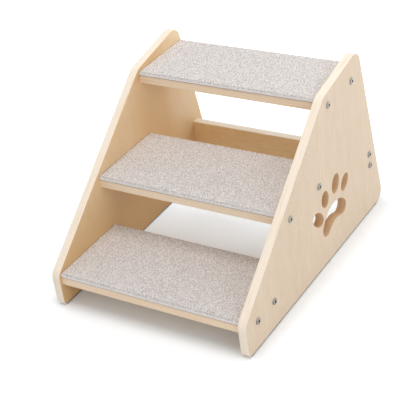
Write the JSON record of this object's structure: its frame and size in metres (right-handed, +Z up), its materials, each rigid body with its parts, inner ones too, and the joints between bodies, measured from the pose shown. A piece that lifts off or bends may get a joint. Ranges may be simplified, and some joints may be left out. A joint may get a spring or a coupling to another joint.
{
  "type": "pet stairs",
  "caption": "Open pet stairs for a small animal: plywood side panels with a paw cut-out, carpeted treads, a back rail and bolts with barrel nuts.",
  "frame": {"origin": "on the floor, under the middle of the stairs' width and depth", "axes": "+X across the stairs to the right as seen by a climber, +Y from the bottom step to the top step, +Z up"},
  "size_m": [0.3644, 0.472, 0.308],
  "materials": {
    "plywood": "clear matt lacquer",
    "carpet": "flat woven loop",
    "bolt_steel": "nickel plated",
    "nut_steel": "zinc plated",
    "anti_slip": "matt"
  },
  "bodies": {
    "root": {"left_side_panel": "plywood", "right_side_panel": "plywood", "bottom_tread": "plywood", "middle_tread": "plywood", "top_tread": "plywood", "back_rail": "plywood", "bottom_carpet": "carpet", "middle_carpet": "carpet", "top_carpet": "carpet", "bottom_tread_bolts": "bolt_steel", "middle_tread_bolts": "bolt_steel", "top_tread_bolts": "bolt_steel", "back_rail_bolts": "bolt_steel", "bottom_tread_barrel_nuts": "nut_steel", "middle_tread_barrel_nuts": "nut_steel", "top_tread_barrel_nuts": "nut_steel", "back_rail_barrel_nuts": "nut_steel", "left_anti_slip_strip": "anti_slip", "right_anti_slip_strip": "anti_slip"}
  },
  "joints": []
}
